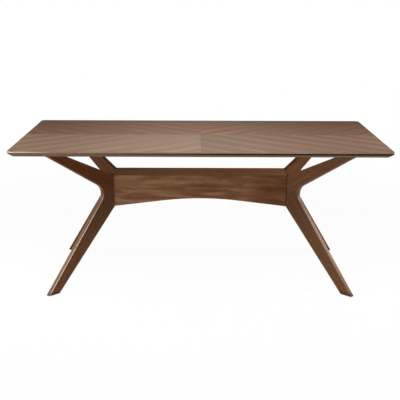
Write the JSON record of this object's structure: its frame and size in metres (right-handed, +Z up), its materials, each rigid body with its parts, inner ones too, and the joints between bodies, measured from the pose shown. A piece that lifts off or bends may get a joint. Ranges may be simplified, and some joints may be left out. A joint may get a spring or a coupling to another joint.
{
  "type": "dining table",
  "caption": "Walnut dining table with a thin bevelled rectangular top on splayed boomerang legs that meet an arched box stretcher.",
  "frame": {"origin": "on the floor, under the middle of the top", "axes": "+X along the table to the right as seen from the front, +Y to the rear, +Z up"},
  "size_m": [1.8, 0.9, 0.745],
  "materials": {
    "walnut_veneer": "satin lacquer over four-way matched walnut veneer",
    "walnut_solid": "satin lacquer over walnut-stained solid wood",
    "walnut_panel": "satin lacquer over walnut-veneered board",
    "core_board": "raw board, hidden by veneer and lipping",
    "backing_veneer": "thin sealer over plain backing veneer",
    "pale_hardwood": "unfinished pale hardwood",
    "zinc_steel": "bright zinc plating",
    "brass_insert": "plain machined brass",
    "black_plate": "black powder coat",
    "nylon_glide": "dark brown moulded nylon"
  },
  "bodies": {
    "root": {"top_veneer_front_left": "walnut_veneer", "top_veneer_front_right": "walnut_veneer", "top_veneer_rear_left": "walnut_veneer", "top_veneer_rear_right": "walnut_veneer", "leg_front_left": "walnut_solid", "leg_front_right": "walnut_solid", "leg_rear_left": "walnut_solid", "leg_rear_right": "walnut_solid", "arm_front_left": "walnut_solid", "arm_front_right": "walnut_solid", "arm_rear_left": "walnut_solid", "arm_rear_right": "walnut_solid", "top_lipping_front": "walnut_solid", "top_lipping_rear": "walnut_solid", "top_lipping_left": "walnut_solid", "top_lipping_right": "walnut_solid", "stretcher_front": "walnut_panel", "stretcher_rear": "walnut_panel", "stretcher_cover": "walnut_panel", "top_core": "core_board", "top_backing_veneer": "backing_veneer", "stretcher_end_left": "pale_hardwood", "stretcher_end_right": "pale_hardwood", "corner_block_front_left": "pale_hardwood", "corner_block_front_right": "pale_hardwood", "corner_block_rear_left": "pale_hardwood", "corner_block_rear_right": "pale_hardwood", "elbow_tenons": "pale_hardwood", "hanger_bolts": "zinc_steel", "hanger_washers": "zinc_steel", "hanger_nuts": "zinc_steel", "plate_bolts": "zinc_steel", "plate_wood_screws": "zinc_steel", "top_inserts": "brass_insert", "arm_plate_front_left": "black_plate", "arm_plate_front_right": "black_plate", "arm_plate_rear_left": "black_plate", "arm_plate_rear_right": "black_plate", "foot_glide_front_left": "nylon_glide", "foot_glide_front_right": "nylon_glide", "foot_glide_rear_left": "nylon_glide", "foot_glide_rear_right": "nylon_glide"}
  },
  "joints": []
}
